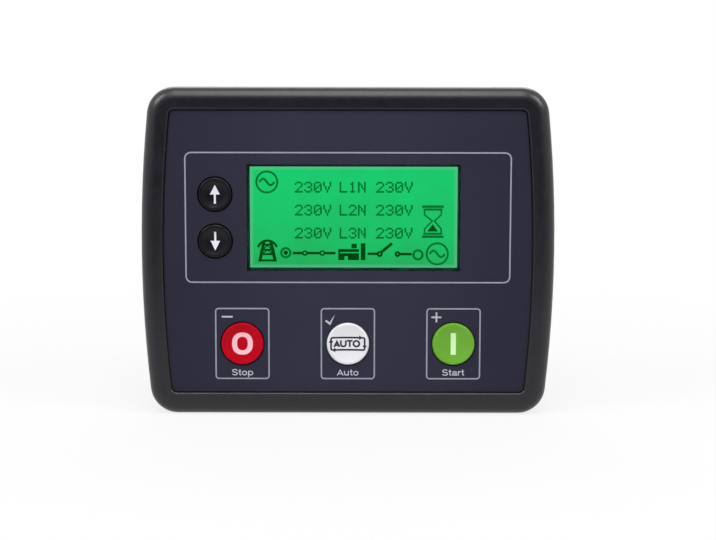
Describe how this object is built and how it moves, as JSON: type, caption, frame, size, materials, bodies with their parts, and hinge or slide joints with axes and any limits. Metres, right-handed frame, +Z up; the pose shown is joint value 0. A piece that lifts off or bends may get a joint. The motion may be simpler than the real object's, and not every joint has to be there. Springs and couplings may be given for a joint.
{
  "type": "genset controller",
  "caption": "Panel-mounted generating-set controller: bowed black bezel, dark facia with a green display, round push buttons, and a rear case with plug headers.",
  "frame": {"origin": "middle of the bezel's back face, which lies on the front of the panel", "axes": "+X to the right as seen from the front, +Y backwards through the panel, +Z up"},
  "size_m": [0.14, 0.043, 0.111],
  "materials": {
    "bezel_plastic": "fine-textured black moulding",
    "facia_film": "satin dark blue-grey film",
    "clear_window": "clear acrylic sheet",
    "frame_metal": "black painted sheet steel",
    "lcd_cell": "lit green liquid-crystal cell",
    "light_guide": "milky acrylic",
    "led_plastic": "lamp moulding",
    "strip_rubber": "conductive layered rubber",
    "board_laminate": "green solder-masked laminate",
    "screw_steel": "zinc-plated steel",
    "cap_black": "satin black moulding",
    "cap_red": "satin red moulding",
    "cap_white": "satin white moulding",
    "cap_green": "satin green moulding",
    "switch_plastic": "black moulding",
    "tinned_metal": "tinned copper alloy",
    "socket_black": "black moulding",
    "gold_pins": "gold-flashed",
    "case_plastic": "fine-textured black moulding",
    "header_plastic": "green moulding",
    "socket_metal": "nickel-plated sheet",
    "socket_white": "white moulding",
    "chip_epoxy": "moulded epoxy",
    "can_aluminium": "bare can",
    "coil_ferrite": "ferrite and varnished wire"
  },
  "bodies": {
    "housing": {"front_bezel": "bezel_plastic", "facia_label": "facia_film", "display_window": "clear_window", "lcd_frame": "frame_metal", "lcd_glass": "lcd_cell", "backlight_panel": "light_guide", "backlight_leds": "led_plastic", "contact_strips": "strip_rubber", "display_board": "board_laminate", "display_board_screws": "screw_steel", "switch_bodies": "switch_plastic", "switch_leads": "tinned_metal", "link_header": "socket_black", "link_pins": "gold_pins", "link_socket": "socket_black", "main_board": "board_laminate", "main_board_screws": "screw_steel", "rear_case": "case_plastic", "case_screws": "screw_steel", "supply_header_body": "header_plastic", "supply_header_pins": "tinned_metal", "current_header_body": "header_plastic", "current_header_pins": "tinned_metal", "generator_header_body": "header_plastic", "generator_header_pins": "tinned_metal", "mains_header_body": "header_plastic", "mains_header_pins": "tinned_metal", "data_socket_shell": "socket_metal", "data_socket_insert": "socket_white", "processor_chip": "chip_epoxy", "supply_capacitors": "can_aluminium", "supply_coil": "coil_ferrite", "output_drivers": "chip_epoxy"},
    "up_key": {"up_button": "cap_black", "up_plunger": "switch_plastic"},
    "down_key": {"down_button": "cap_black", "down_plunger": "switch_plastic"},
    "stop_key": {"stop_button": "cap_red", "stop_plunger": "switch_plastic"},
    "auto_key": {"auto_button": "cap_white", "auto_plunger": "switch_plastic"},
    "start_key": {"start_button": "cap_green", "start_plunger": "switch_plastic"}
  },
  "joints": [
    {"name": "up_press", "type": "slide", "parent": "housing", "child": "up_key", "axis": [0, 1, 0], "range_m": [0, 0.0006], "stiffness_N_per_m": 2000, "springref_m": -0.0005},
    {"name": "down_press", "type": "slide", "parent": "housing", "child": "down_key", "axis": [0, 1, 0], "range_m": [0, 0.0006], "stiffness_N_per_m": 2000, "springref_m": -0.0005},
    {"name": "stop_press", "type": "slide", "parent": "housing", "child": "stop_key", "axis": [0, 1, 0], "range_m": [0, 0.0006], "stiffness_N_per_m": 2000, "springref_m": -0.0005},
    {"name": "auto_press", "type": "slide", "parent": "housing", "child": "auto_key", "axis": [0, 1, 0], "range_m": [0, 0.0006], "stiffness_N_per_m": 2000, "springref_m": -0.0005},
    {"name": "start_press", "type": "slide", "parent": "housing", "child": "start_key", "axis": [0, 1, 0], "range_m": [0, 0.0006], "stiffness_N_per_m": 2000, "springref_m": -0.0005}
  ]
}
